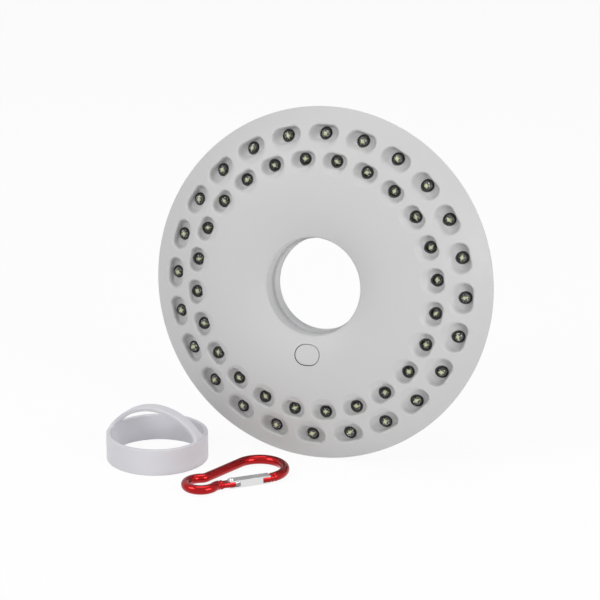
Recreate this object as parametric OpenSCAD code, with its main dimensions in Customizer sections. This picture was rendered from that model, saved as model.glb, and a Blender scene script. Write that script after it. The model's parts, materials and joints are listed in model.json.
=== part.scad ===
// Ring-shaped umbrella-pole light with its hanger ring and carabiner.
// Origin on the floor under the middle of the set's box, +Z up, the light faces -Y and leans back.

/* [Disc] */
// Diameter of the disc
disc_d = 185; // [180:0.5:200]
// Height of the straight rim
rim_h = 4.4; // [3.5:0.1:6]
// Diameter of the face's crest circle
crest_d = 84; // [80:0.5:88]
// Height of the crest in front of the rim's back edge
crest_h = 22.8; // [22:0.1:26]
// How much narrower the rim is at its back edge
rim_draft = 1.5; // [1.3:0.1:1.8]
// How far the back plate stands behind the rim's back edge
back_h = 5; // [5:0.1:7]
// Width of the back's slanted edge
bevel_w = 4.7; // [4:0.1:6]
// Wall of the two shells
wall = 2; // [1.8:0.1:2.2]
// How far the standing disc leans back, in degrees
lean = 10.3; // [8:0.1:12]

/* [Centre hole] */
// Bore of the rear tube that a pole passes
pole_bore_d = 48.8; // [46:0.1:49]
// Diameter of the face's lip round the hole
lip_d = 51.2; // [50.6:0.1:52]
// Height of the lip
lip_z = 19.5; // [19:0.1:20]
// Height of the joint between the two tubes
joint_z = 9.5; // [8:0.1:11]
// Diameter of the socket for the hanger ring, in the back
socket_d = 54; // [53.8:0.1:54.4]
// Height of the socket's floor
socket_z = 1.7; // [1:0.1:2.5]
// Wall of the tubes
tube_wall = 2.2; // [2:0.1:2.3]

/* [Lights] */
// Lights in each of the two circles
led_count = 24; // [20:1:24]
// Radius of the outer circle of lights
outer_led_r = 78.9; // [78.5:0.1:79.5]
// Radius of the inner circle of lights
inner_led_r = 65.9; // [65.5:0.1:66.5]
// Height of the outer lights' tips
outer_tip_z = 10.8; // [10.5:0.1:12]
// Height of the inner lights' tips
inner_tip_z = 15.5; // [15:0.1:16.5]
// Turn of the pattern about the disc's axis, in degrees
led_clocking = 1.1; // [0:0.1:3]
// Diameter of a light's barrel
led_d = 5; // [4.8:0.1:5.2]
// Length of a light from its base to its tip
led_h = 8.6; // [8.2:0.1:8.8]
// Diameter of the hole that a light stands in
led_hole_d = 6.4; // [6.2:0.1:6.6]
// Radius of the rounded cut that makes an outer pocket
outer_cut_r = 6.3; // [6:0.1:6.5]
// Half the straight length of an outer pocket's cut
outer_cut_half = 2.6; // [2:0.1:3]
// Radius of the rounded cut that makes an inner pocket
inner_cut_r = 5.6; // [5.4:0.1:5.8]
// Half the straight length of an inner pocket's cut
inner_cut_half = 1.3; // [1:0.1:1.6]
// How deep a pocket reaches under the face, square to it
pocket_depth = 4.4; // [4:0.1:4.8]

/* [Board] */
// Inner diameter of the board
board_id = 124; // [123.6:0.1:125]
// Outer diameter of the board
board_od = 168; // [167:0.5:170]
// Thickness of the board
board_t = 1.6; // [1.2:0.1:1.8]

/* [Power button] */
// Distance of the button from the axis
button_r = 35.5; // [35:0.1:36]
// Width of the button across
button_w = 13.2; // [12:0.1:13.4]
// Height of the button, towards the axis
button_l = 11.2; // [10:0.1:11.4]
// Gap round the button
button_gap = 0.25; // [0.2:0.05:0.4]
// Travel of the button
button_travel = 0.5; // [0.3:0.05:0.5]

/* [Batteries] */
// Diameter of a cell
cell_d = 14.2; // [13.8:0.1:14.5]
// Length of a cell with its nub
cell_l = 50.5; // [49.5:0.1:51]
// Distance of a cell's middle line from the disc's axis
cell_r = 38; // [37.8:0.1:38.6]
// Room left round a cell
cell_gap = 0.4; // [0.3:0.05:0.5]
// Wall of the battery bays
bay_wall = 1.4; // [1.2:0.1:1.5]
// Outer diameter of the battery doors
door_od = 110; // [109:0.5:111]
// Thickness of the battery doors
door_t = 2; // [1.6:0.1:2]

/* [Wires on the back] */
// Diameter of the wire of the stand and the hanging loop
wire_d = 2.4; // [2:0.1:2.5]
// Distance of the stand's hinge from the disc's lowest point
stand_hinge_up = 34.5; // [33.5:0.1:35]
// Length of the stand's legs
stand_leg = 35.2; // [34.6:0.1:36]
// Distance between the stand's legs
stand_w = 36; // [32:0.5:40]
// Distance of the hanging loop's hinge from the disc's centre
loop_hinge_up = 83; // [82:0.1:84]
// Length of the hanging loop's legs
loop_leg = 22.5; // [20:0.1:23]
// Distance between the hanging loop's legs
loop_w = 26; // [22:0.5:28]

/* [Hanger ring] */
// Outer diameter of the hanger ring
ring_od = 53.5; // [52:0.1:53.6]
// Wall of the hanger ring
ring_wall = 2.2; // [1.8:0.1:2.6]
// Height of the ring's band
ring_h = 14.2; // [13:0.1:16]
// Rise of the arch over the band
arch_rise = 14.2; // [12:0.1:16]
// Thickness of the arch
arch_t = 2.4; // [2:0.1:3]
// Width of the arch
arch_w = 6.4; // [5:0.1:8]

/* [Carabiner] */
// Diameter of the carabiner's rod
rod_d = 5; // [4.8:0.1:5.2]
// Radius of the small end's eye, to the rod's middle
small_bend_r = 7.8; // [7.5:0.1:8.1]
// Radius of the big end, to the rod's middle
big_bend_r = 13.2; // [12.8:0.1:13.6]
// Radius of the necks between the eye and the straight rods
neck_r = 4; // [3.6:0.1:4.4]
// Slope of the back bar to the gate, in degrees
bar_turn = 28.5; // [27.5:0.1:29.5]
// Distance from the gate's pivot back to the eye's centre
pivot_to_small = 15; // [14.7:0.1:15.5]
// How far the eye's centre lies inside the gate's line
eye_in = 4.7; // [4.4:0.1:5]
// Distance from the gate's pivot on to the big end's centre
pivot_to_big = 20; // [19.6:0.1:20.4]
// Outer height of the gate's channel
gate_h = 4; // [3.8:0.1:4.1]
// Outer depth of the gate's channel
gate_w = 4.8; // [4.4:0.1:5]
// Thickness of the gate's sheet
gate_t = 0.6; // [0.5:0.05:0.7]
// How far the gate opens, in degrees
gate_swing = 26; // [15:1:28]

/* [Layout] */
// Place of the hanger ring, to the light's left
ring_x = -76.3; // [-90:0.1:-70]
// Place of the hanger ring, in front of the disc's lowest point
ring_y = -31.9; // [-40:0.1:-30]
// Turn of the ring's arch, in degrees
arch_turn = -8; // [-45:1:45]
// Place of the gate's pivot, to the light's left
pivot_x = -24.3; // [-30:0.1:-20]
// Place of the gate's pivot, in front of the disc's lowest point
pivot_y = -58.4; // [-62:0.1:-56]
// Direction from the gate's pivot to its tip, in degrees
carabiner_turn = 40.8; // [35:0.1:45]

/* [Hidden] */
$fn = 96;
eps = 0.01;

face_white = [0.80, 0.80, 0.80];
back_white = [0.77, 0.77, 0.78];
steel_grey = [0.70, 0.70, 0.72];
red_anodised = [0.75, 0.05, 0.07];

// Face: two arcs meet at the crest, one falls to the rim and one to the lip.
disc_r = disc_d / 2;
ring_r = ring_od / 2;
crest_r = crest_d / 2;
lip_r = lip_d / 2;
dome_run = disc_r - crest_r;
dome_fall = crest_h - rim_h;
dome_arc = (dome_run * dome_run + dome_fall * dome_fall) / (2 * dome_fall);
mouth_run = crest_r - lip_r;
mouth_fall = crest_h - lip_z;
mouth_arc = (mouth_run * mouth_run + mouth_fall * mouth_fall) / (2 * mouth_fall);
function face_z(r) = r > crest_r
    ? crest_h - dome_arc + sqrt(dome_arc * dome_arc - (r - crest_r) * (r - crest_r))
    : crest_h - mouth_arc + sqrt(mouth_arc * mouth_arc - (crest_r - r) * (crest_r - r));
function face_slope(r) = asin((r - crest_r) / dome_arc);

// Shell joint: the rear shell's spigot stands inside the rim.
seam = 0.2;
lap_gap = 0.3;
rear_r = disc_r - rim_draft - lap_gap;
spigot_r = rear_r - wall;
spigot_h = 2.5;
bevel_r = rear_r - bevel_w;
plate_in_z = wall - back_h;

// Band behind the pockets and the clearances in it.
pocket_floor = 1.8;
band_in_r = 60;
outer_pitch = 360 / led_count;
outer_start = led_clocking - 90;
inner_start = outer_start + outer_pitch / 2;
led_flange_d = led_d + 0.8;
led_flange_h = 1;
pin_d = 0.6;
pin_half = 1.27;

board_top = outer_tip_z - led_h;
board_low = board_top - board_t;
board_boss_r = 2.4;
board_screw_r = (outer_led_r + inner_led_r) / 2;
board_screw_turn = led_clocking + outer_pitch * 3.25;
board_screw_d = 1.8;
board_screw_head = 3.6;
board_screw_l = 6;
screw_slack = 0.05;

// Case screws, between the doors and the board.
case_screw_angles = [-55, 0, 55, 125, 180, 235];
case_screw_r = door_od / 4 + board_id / 4 + 0.3;
case_boss_r = 2.7;
case_screw_d = 2.2;
case_head_d = 5;
case_pad_r = case_head_d / 2 + 0.8;
case_seat_z = 1.6 - back_h;
case_boss_low = 4.2 - back_h;
case_screw_l = 12;

// Battery bays: a plate, a spring, a cell and a plate fill each one's length.
plate_t = 0.5;
spring_l = 4;
bay_l = plate_t + spring_l + cell_l + plate_t;
bay_w = cell_d + 2 * cell_gap;
door_seat = 0.2;
door_gap = 0.3;
door_in_z = door_t - back_h;
recess_z = door_in_z + door_seat;
recess_plate = 1.6;
cell_z = door_in_z + cell_gap + cell_d / 2;
bay_top = cell_z + cell_d / 2 + cell_gap;
bay_roof = bay_top + bay_wall;
socket_r = socket_d / 2;
socket_out_r = cell_r - bay_w / 2 - bay_wall + 0.2;
door_in_r = socket_out_r + door_gap;
door_r = door_od / 2;
door_peg_d = 2.4;
door_peg_l = 3;
door_peg_near = 34;
door_peg_far = 50;
nub_d = 5.2;
nub_l = 1.3;
cell_spring_d = 7;

// Button stack: cap, flange, plunger, switch and its board, down onto the bays' roofs.
switch_board_z = bay_roof;
switch_board_t = 1.2;
switch_h = 1.5;
switch_w = 6.2;
switch_low = switch_board_z + switch_board_t;
plunger_show = button_travel + 0.4;
flange_z = switch_low + switch_h + plunger_show;
flange_t = 0.9;
flange_lip = 0.9;
plunger_d = 3;
plunger_in = 0.6;
plunger_well = plunger_in + button_travel + 0.1;

// Wires on the back: hinge height, grooves and the stand's opening angle.
wire_r = wire_d / 2;
hinge_z = 2 - back_h;
hinge_bore_r = wire_r + 0.05;
groove_half = wire_r + 0.9;
groove_z = hinge_z + wire_r + 0.4;
well_z = groove_z + 1.3;
wire_bend = 2;
stand_hinge_y = stand_hinge_up - disc_r;
stand_drop = stand_hinge_up * cos(lean) + (hinge_z - rim_h) * sin(lean) - wire_r;
stand_open = acos(stand_drop / stand_leg) + lean;
pin_reach = 6.5;
boss_half = 3.4;

// Gate and rod.
rod_r = rod_d / 2;
gate_play = 0.1;
tongue_t = gate_h - 2 * gate_t - 2 * gate_play;
rivet_r = 0.8;
rivet_play = 0.05;
rivet_head_r = 1.45;
tongue_end = 1.7;
web_start = 4.1;
web_end = pivot_to_big - 3.6;
nose_start = web_end + 0.5;
gate_end = nose_start + 3.6;
hinge_gap = 2.6;
nose_gap = 0.6;
bend_step = 0.02;
bend_lap = 0.2;
neck_lap = bend_lap / neck_r * 180 / PI;

// Ring's arch: a round strap whose ends stand on the band.
arch_out_r = (ring_r * ring_r + arch_rise * arch_rise) / (2 * arch_rise);
arch_centre_z = ring_h + arch_rise - arch_out_r;

// The rim stands on its front edge: how far that lies over the lowest point of the disc's back plane.
rim_low = rim_h * sin(lean);

// Middle of the set's box, measured from the lowest point of the disc's back plane.
middle_x = (disc_r + ring_x - ring_r) / 2;
back_y = (disc_r + bevel_r) * sin(lean) + back_h * cos(lean);
eye_y = pivot_y - pivot_to_small * sin(carabiner_turn) + eye_in * cos(carabiner_turn);
middle_y = (back_y + eye_y - small_bend_r - rod_r) / 2;

// Places the disc's own frame (+Z out of the face, +Y up the face) in the set.
module on_disc() {
    translate([-middle_x, -middle_y, -rim_low])
        rotate([90 - lean, 0, 0])
            translate([0, disc_r, 0])
                children();
}

module at_outer_leds() {
    for (i = [0 : led_count - 1])
        rotate([0, 0, outer_start + i * outer_pitch])
            translate([outer_led_r, 0, 0])
                children();
}

module at_inner_leds() {
    for (i = [0 : led_count - 1])
        rotate([0, 0, inner_start + i * outer_pitch])
            translate([inner_led_r, 0, 0])
                children();
}

module at_case_screws() {
    for (a = case_screw_angles)
        rotate([0, 0, a])
            translate([case_screw_r, 0, 0])
                children();
}

module at_board_screws() {
    for (i = [0 : 3])
        rotate([0, 0, board_screw_turn + i * 90])
            translate([board_screw_r, 0, 0])
                children();
}

module at_cells() {
    for (i = [0 : 3])
        rotate([0, 0, 45 + i * 90])
            translate([cell_r, 0, cell_z])
                children();
}

// Section of everything behind the face, taken in by an even thickness.
module face_section(inset, r_low, r_high) {
    intersection() {
        translate([crest_r, crest_h - dome_arc])
            circle(r = dome_arc - inset, $fn = 360);
        polygon([[crest_r, 0], [r_high - rim_draft, 0], [r_high, rim_h], [r_high, 2 * crest_h],
            [crest_r, 2 * crest_h]]);
    }
    intersection() {
        translate([crest_r, crest_h - mouth_arc])
            circle(r = mouth_arc - inset, $fn = 360);
        translate([r_low, 0])
            square([crest_r - r_low + eps, 2 * crest_h]);
    }
}

// Rounded cut of a pocket: a round-ended bar that lies across the slope.
module pocket_cut(led_r, cut_r, cut_half) {
    slope = face_slope(led_r);
    lift = cut_r - pocket_depth;
    translate([lift * sin(slope), 0, face_z(led_r) + lift * cos(slope)]) {
        rotate([90, 0, 0])
            cylinder(r = cut_r, h = 2 * cut_half, center = true, $fn = 48);
        for (s = [-1, 1])
            translate([0, s * cut_half, 0])
                sphere(r = cut_r, $fn = 48);
    }
}

module button_outline(grow) {
    end_r = button_l / 2 + grow;
    half = (button_w - button_l) / 2;
    for (s = [-1, 1])
        translate([s * half, 0])
            circle(r = end_r);
    translate([-half, -end_r])
        square([2 * half, 2 * end_r]);
}

module front_shell() {
    color(face_white) on_disc() difference() {
        union() {
            rotate_extrude($fn = 180) difference() {
                face_section(0, lip_r, disc_r);
                face_section(wall, lip_r + tube_wall, disc_r - wall);
                translate([0, -eps])
                    square([lip_r + tube_wall + 1, joint_z]);
            }
            rotate_extrude($fn = 180) difference() {
                intersection() {
                    face_section(wall - eps, lip_r, disc_r - wall + eps);
                    translate([band_in_r, 0])
                        square([bevel_r - band_in_r, crest_h]);
                }
                face_section(pocket_depth + pocket_floor, lip_r, disc_r);
            }
            at_case_screws()
                translate([0, 0, case_boss_low + seam])
                    cylinder(r = case_boss_r, h = face_z(case_screw_r) - wall / 2 - case_boss_low);
            at_board_screws()
                translate([0, 0, board_top])
                    cylinder(r = board_boss_r, h = face_z(board_screw_r) - wall - board_top);
        }
        at_outer_leds() {
            pocket_cut(outer_led_r, outer_cut_r, outer_cut_half);
            cylinder(d = led_hole_d, h = crest_h);
        }
        at_inner_leds() {
            pocket_cut(inner_led_r, inner_cut_r, inner_cut_half);
            cylinder(d = led_hole_d, h = crest_h);
        }
        at_case_screws()
            translate([0, 0, case_boss_low])
                cylinder(d = case_screw_d + 2 * screw_slack, h = case_screw_l + case_seat_z - case_boss_low + 1);
        at_board_screws()
            translate([0, 0, board_top - eps])
                cylinder(d = board_screw_d + 2 * screw_slack, h = board_screw_l - board_t + 0.5);
        translate([0, -button_r, joint_z])
            linear_extrude(crest_h)
                button_outline(button_gap);
    }
}

// One groove and hinge bore pair for a wire loop folded towards +Y or -Y of its hinge.
module loop_wells(half_w, y_hinge, y_low, y_high) {
    for (s = [-1, 1]) {
        translate([s * half_w - groove_half - bay_wall, y_low, -back_h])
            cube([2 * (groove_half + bay_wall), y_high - y_low, back_h + well_z]);
        translate([s * (half_w - groove_half - pin_reach / 2) - pin_reach / 2 - 1, y_hinge - boss_half, -back_h])
            cube([pin_reach + 2, 2 * boss_half, back_h + well_z]);
    }
}

module loop_grooves(half_w, y_hinge, y_low, y_high) {
    for (s = [-1, 1])
        translate([s * half_w - groove_half, y_low, -back_h - 1])
            cube([2 * groove_half, y_high - y_low, groove_z + back_h + 1]);
    for (s = [-1, 1])
        translate([s * (half_w - groove_half - pin_reach / 2), y_hinge, hinge_z])
            rotate([0, 90, 0])
                cylinder(r = hinge_bore_r, h = pin_reach + 0.4, center = true);
}

module rear_section() {
    polygon([
        [socket_r, -back_h], [bevel_r, -back_h], [rear_r, -seam], [spigot_r, -seam],
        [spigot_r, spigot_h], [spigot_r - wall, spigot_h], [spigot_r - wall, -seam - 0.4],
        [bevel_r - 0.4, plate_in_z], [socket_out_r, plate_in_z],
        [socket_out_r, socket_z + tube_wall], [pole_bore_d / 2 + tube_wall, socket_z + tube_wall],
        [pole_bore_d / 2 + tube_wall, joint_z - seam], [pole_bore_d / 2, joint_z - seam],
        [pole_bore_d / 2, socket_z], [socket_r, socket_z]]);
}

module door_recess_section(r_low, r_high, z_high) {
    translate([r_low, -back_h - 1])
        square([r_high - r_low, z_high + back_h + 1]);
}

module rear_shell() {
    loop_low = loop_hinge_up - loop_leg;
    color(back_white) on_disc() difference() {
        union() {
            rotate_extrude($fn = 180)
                rear_section();
            rotate_extrude($fn = 180)
                translate([socket_out_r - eps, plate_in_z - eps])
                    square([door_r + door_gap + bay_wall - socket_out_r, recess_z + recess_plate - plate_in_z]);
            at_cells()
                translate([-bay_w / 2 - bay_wall, -bay_l / 2 - bay_wall, recess_z - cell_z + eps])
                    cube([bay_w + 2 * bay_wall, bay_l + 2 * bay_wall, bay_roof - recess_z - eps]);
            at_case_screws()
                translate([0, 0, -back_h])
                    cylinder(r = case_pad_r, h = case_boss_low + back_h);
            intersection() {
                union() {
                    loop_wells(stand_w / 2, stand_hinge_y, -disc_r, stand_hinge_y + boss_half);
                    loop_wells(loop_w / 2, loop_hinge_up, loop_low - groove_half - bay_wall, disc_r);
                    translate([-loop_w / 2, loop_low - groove_half - bay_wall, -back_h])
                        cube([loop_w, 2 * (groove_half + bay_wall), back_h + well_z]);
                }
                rotate_extrude($fn = 180)
                    polygon([[socket_out_r, -back_h], [bevel_r, -back_h], [spigot_r - wall / 2, plate_in_z + wall],
                        [spigot_r - wall / 2, well_z], [socket_out_r, well_z]]);
            }
        }
        rotate_extrude($fn = 180)
            door_recess_section(door_in_r - door_gap, door_r + door_gap, recess_z);
        at_cells()
            translate([-bay_w / 2, -bay_l / 2, -cell_z - back_h])
                cube([bay_w, bay_l, bay_top + back_h]);
        for (a = [0, 180], r = [door_peg_near, door_peg_far])
            rotate([0, 0, a])
                translate([r, 0, -back_h])
                    cylinder(d = door_peg_d + 4 * screw_slack, h = back_h + 1);
        at_case_screws() {
            translate([0, 0, -back_h - 1])
                cylinder(d = case_screw_d + 0.6, h = 2 * back_h);
            translate([0, 0, -back_h - 1])
                cylinder(d = case_head_d + 0.4, h = case_seat_z + back_h + 1);
        }
        loop_grooves(stand_w / 2, stand_hinge_y, -disc_r - 1, stand_hinge_y + groove_half);
        loop_grooves(loop_w / 2, loop_hinge_up, loop_low - groove_half, disc_r + 1);
        translate([-loop_w / 2, loop_low - groove_half, -back_h - 1])
            cube([loop_w, 2 * groove_half, groove_z + back_h + 1]);
    }
}

module power_button() {
    cap_low = flange_z + flange_t - eps;
    color(face_white) on_disc() union() {
        intersection() {
            translate([0, -button_r, cap_low])
                linear_extrude(crest_h)
                    button_outline(0);
            rotate_extrude($fn = 180)
                face_section(0.1, lip_r, disc_r);
        }
        translate([0, -button_r, flange_z])
            linear_extrude(flange_t)
                button_outline(flange_lip);
    }
}

module switch_plunger() {
    color("dimgray") on_disc()
        translate([0, -button_r, flange_z - plunger_show - plunger_in])
            cylinder(d = plunger_d, h = plunger_show + plunger_in);
}

module tact_switch() {
    color("gray") on_disc() translate([0, -button_r, switch_low]) difference() {
        translate([-switch_w / 2, -switch_w / 2, 0])
            cube([switch_w, switch_w, switch_h]);
        translate([0, 0, switch_h - plunger_well])
            cylinder(d = plunger_d + 0.2, h = switch_h);
    }
}

module switch_board() {
    color("darkgreen") on_disc()
        translate([-button_w / 2, -cell_r - switch_w, switch_board_z])
            cube([button_w, 2 * switch_w, switch_board_t]);
}

module led_board() {
    color("darkgreen") on_disc() difference() {
        translate([0, 0, board_low])
            cylinder(d = board_od, h = board_t, $fn = 180);
        translate([0, 0, board_low - 1])
            cylinder(d = board_id, h = board_t + 2, $fn = 180);
        at_board_screws()
            translate([0, 0, board_low - 1])
                cylinder(d = board_screw_d + 4 * screw_slack, h = board_t + 2);
    }
}

// One light, standing on its base: flange, barrel and domed tip.
module led() {
    cylinder(d = led_flange_d, h = led_flange_h, $fn = 32);
    cylinder(d = led_d, h = led_h - led_d / 2, $fn = 32);
    translate([0, 0, led_h - led_d / 2])
        sphere(d = led_d, $fn = 32);
}

module outer_leds() {
    color([0.30, 0.31, 0.30]) on_disc() at_outer_leds()
        translate([0, 0, outer_tip_z - led_h])
            led();
}

module inner_leds() {
    color([0.30, 0.31, 0.30]) on_disc() at_inner_leds()
        translate([0, 0, inner_tip_z - led_h])
            led();
}

module led_pins() {
    color("silver") on_disc() at_inner_leds()
        for (s = [-1, 1])
            translate([0, s * pin_half, board_top])
                cylinder(d = pin_d, h = inner_tip_z - led_h - board_top, $fn = 16);
}

module resistors() {
    resistor_d = 2.2;
    resistor_l = 6;
    color("tan") on_disc()
        for (a = [152, 160, 168])
            rotate([0, 0, a])
                translate([board_screw_r, 0, board_low - resistor_d / 2])
                    rotate([90, 0, 0])
                        cylinder(d = resistor_d, h = resistor_l, center = true, $fn = 24);
}

module driver_chip() {
    chip_l = 5;
    chip_w = 4;
    chip_h = 1.5;
    color([0.12, 0.12, 0.12]) on_disc()
        rotate([0, 0, 176])
            translate([board_screw_r - chip_l / 2, -chip_w / 2, board_low - chip_h])
                cube([chip_l, chip_w, chip_h]);
}

module lead(from, to, d) {
    run = to - from;
    translate(from)
        rotate([0, acos(run[2] / norm(run)), atan2(run[1], run[0])])
            cylinder(d = d, h = norm(run), $fn = 16);
}

// Leads from the bays' walls to the lights' board.
module lead_wires() {
    lead_d = 1.3;
    lead_turn = 22;
    rise_r = board_id / 2 + 2;
    rise_h = 2;
    bay_edge_r = (cell_r + bay_w / 2 + bay_wall) / cos(45 - lead_turn);
    color("firebrick") on_disc()
        for (a = [-lead_turn, lead_turn, 180 - lead_turn, 180 + lead_turn])
            rotate([0, 0, a]) {
                translate([rise_r, 0, board_top])
                    cylinder(d = lead_d, h = rise_h, $fn = 16);
                translate([rise_r, 0, board_top + rise_h])
                    sphere(d = lead_d, $fn = 16);
                lead([rise_r, 0, board_top + rise_h], [bay_edge_r + 0.6, 0, bay_top - cell_d / 4], lead_d);
            }
}

module board_screws() {
    color(steel_grey) on_disc() at_board_screws() {
        translate([0, 0, board_low - 1.2])
            cylinder(d = board_screw_head, h = 1.2, $fn = 32);
        translate([0, 0, board_low - eps])
            cylinder(d = board_screw_d, h = board_screw_l, $fn = 32);
    }
}

module aa_cells() {
    color("seagreen") on_disc() at_cells()
        translate([0, bay_l / 2 - plate_t, 0])
            rotate([90, 0, 0]) {
                cylinder(d = nub_d, h = nub_l + eps);
                translate([0, 0, nub_l])
                    cylinder(d = cell_d, h = cell_l - nub_l);
            }
}

module cell_springs() {
    color("silver") on_disc() at_cells()
        translate([0, plate_t - bay_l / 2, 0])
            rotate([-90, 0, 0])
                cylinder(d1 = cell_spring_d + 1, d2 = cell_spring_d - 1, h = spring_l);
}

module contact_plates() {
    plate_w = bay_w - 2;
    color("silver") on_disc() at_cells()
        for (y = [-bay_l / 2, bay_l / 2 - plate_t])
            translate([-plate_w / 2, y, -plate_w / 2])
                cube([plate_w, plate_t, plate_w]);
}

// Half-ring door: side 1 is the light's right as it faces the viewer, side -1 its left.
module battery_door(side) {
    notch_r = 7;
    on_disc() difference() {
        union() {
            intersection() {
                rotate_extrude($fn = 180)
                    translate([door_in_r, -back_h])
                        square([door_r - door_in_r, door_t]);
                translate([side > 0 ? door_gap : -door_od, -door_od, -back_h - 1])
                    cube([door_od - door_gap, 2 * door_od, back_h]);
            }
            for (r = [door_peg_near, door_peg_far])
                translate([side * r, 0, -back_h + eps])
                    cylinder(d = door_peg_d, h = door_t + door_peg_l, $fn = 32);
        }
        translate([side * (door_r + notch_r - 2), 0, -back_h - 1])
            cylinder(r = notch_r, h = back_h + 2);
    }
}

module battery_door_left() {
    color(back_white) battery_door(-1);
}

module battery_door_right() {
    color(back_white) battery_door(1);
}

module case_screws() {
    color(steel_grey) on_disc() at_case_screws() {
        translate([0, 0, 0.2 - back_h])
            cylinder(d = case_head_d, h = case_seat_z + back_h - 0.2, $fn = 32);
        translate([0, 0, case_seat_z - eps])
            cylinder(d = case_screw_d, h = case_screw_l, $fn = 32);
    }
}

// Bent wire: two pins on the hinge line, two legs towards -Y and a bar across.
module quarter_bend(bend_r) {
    rotate_extrude(angle = 90, $fn = 48)
        translate([bend_r, 0])
            circle(r = wire_r, $fn = 24);
}

module wire_loop(half_w, leg) {
    for (s = [0, 1])
        mirror([s, 0, 0]) {
            translate([half_w - groove_half - pin_reach + 0.2, 0, 0])
                rotate([0, 90, 0])
                    cylinder(r = wire_r, h = groove_half + pin_reach - 0.2 - wire_bend, $fn = 24);
            translate([half_w - wire_bend, -wire_bend, 0])
                quarter_bend(wire_bend);
            translate([half_w, -wire_bend, 0])
                rotate([90, 0, 0])
                    cylinder(r = wire_r, h = leg - 2 * wire_bend, $fn = 24);
            translate([half_w - wire_bend, wire_bend - leg, 0])
                rotate([0, 0, -90])
                    quarter_bend(wire_bend);
        }
    translate([0, -leg, 0])
        rotate([0, 90, 0])
            cylinder(r = wire_r, h = 2 * (half_w - wire_bend), center = true, $fn = 24);
}

module stand_wire() {
    color(steel_grey) on_disc()
        translate([0, stand_hinge_y, hinge_z])
            rotate([stand_open, 0, 0])
                wire_loop(stand_w / 2, stand_leg);
}

module hanging_loop() {
    color(steel_grey) on_disc()
        translate([0, loop_hinge_up, hinge_z])
            rotate([lean, 0, 0])
                wire_loop(loop_w / 2, loop_leg);
}

module hanger_ring() {
    color(face_white)
        translate([ring_x - middle_x, ring_y - middle_y, 0])
            rotate([0, 0, arch_turn])
                difference() {
                    union() {
                        cylinder(r = ring_r, h = ring_h, $fn = 128);
                        intersection() {
                            translate([0, 0, arch_centre_z])
                                rotate([90, 0, 0])
                                    cylinder(r = arch_out_r, h = arch_w, center = true, $fn = 128);
                            cylinder(r = ring_r, h = ring_h + arch_rise + 1, $fn = 128);
                        }
                    }
                    translate([0, 0, -1])
                        cylinder(r = ring_r - ring_wall, h = ring_h + 1, $fn = 128);
                    intersection() {
                        translate([0, 0, arch_centre_z])
                            rotate([90, 0, 0])
                                cylinder(r = arch_out_r - arch_t, h = 4 * arch_w, center = true, $fn = 128);
                        cylinder(r = ring_r - ring_wall, h = ring_h + arch_rise, $fn = 128);
                    }
                }
}

// Carabiner's own frame: gate's pivot at the origin, gate along +X, back bar at +Y.
module on_carabiner() {
    translate([pivot_x - middle_x, pivot_y - middle_y, rod_r])
        rotate([0, 0, carabiner_turn])
            children();
}

// A bend is thinner than what it joins by a hair, and runs on into it or takes it in.
module rod_arc(centre, bend_r, from, to, steps) {
    translate(centre)
        rotate([0, 0, from])
            rotate_extrude(angle = to - from, $fn = 96)
                translate([bend_r, 0])
                    circle(r = rod_r - steps * bend_step, $fn = 32);
}

module rod_bar(from, turn, length) {
    translate(from)
        rotate([0, 90, turn])
            translate([0, 0, -bend_lap])
                cylinder(r = rod_r, h = length + 2 * bend_lap, $fn = 32);
}

// Rod from the hinge's tongue round the eye, up the back bar and round the big end to the nose.
// A neck is an arc that turns the other way and touches both the eye's circle and a straight rod.
module carabiner_body() {
    eye = [-pivot_to_small, eye_in, 0];
    big_centre = [pivot_to_big, big_bend_r, 0];
    reach = small_bend_r + neck_r;
    hinge_run = sqrt(reach * reach - pow(eye_in + neck_r, 2));
    hinge_neck = [hinge_run - pivot_to_small, -neck_r, 0];
    hinge_dir = atan2(eye_in + neck_r, -hinge_run);
    bar_along = [cos(bar_turn), sin(bar_turn), 0];
    bar_out = [-sin(bar_turn), cos(bar_turn), 0];
    bar_end = big_centre + big_bend_r * bar_out;
    bar_side = (bar_end - eye) * bar_out + neck_r;
    bar_run = sqrt(reach * reach - bar_side * bar_side);
    bar_neck = eye + bar_side * bar_out + bar_run * bar_along;
    bar_dir = bar_turn + atan2(-bar_side, -bar_run);
    bar_start = bar_neck - neck_r * bar_out;
    hinge_collar = -gate_w / 2 - hinge_gap;
    nose_collar = gate_end + nose_gap;
    color(red_anodised) on_carabiner() difference() {
        union() {
            rod_arc(hinge_neck, neck_r, 90, hinge_dir + neck_lap, 2);
            rod_arc(eye, small_bend_r, bar_dir + 180, hinge_dir + 180, 1);
            rod_arc(bar_neck, neck_r, bar_dir - neck_lap, bar_turn - 90, 2);
            rod_arc(big_centre, big_bend_r, -90, 90 + bar_turn, 1);
            rod_bar([hinge_neck[0], 0, 0], 0, tongue_end - bend_lap - hinge_neck[0]);
            rod_bar(bar_start, bar_turn, norm(bar_end - bar_start));
            rod_bar([nose_start + bend_lap, 0, 0], 0, pivot_to_big - nose_start - bend_lap);
        }
        for (s = [-1, 1]) {
            translate([hinge_collar, -rod_d, s * (tongue_t + rod_d) / 2 - rod_r])
                cube([tongue_end - hinge_collar + 1, 2 * rod_d, rod_d]);
            translate([web_end - 1, -rod_d, s * (tongue_t + rod_d) / 2 - rod_r])
                cube([nose_collar - web_end + 1, 2 * rod_d, rod_d]);
        }
        cylinder(r = rivet_r + rivet_play, h = rod_d + 2, center = true, $fn = 32);
    }
}

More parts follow.
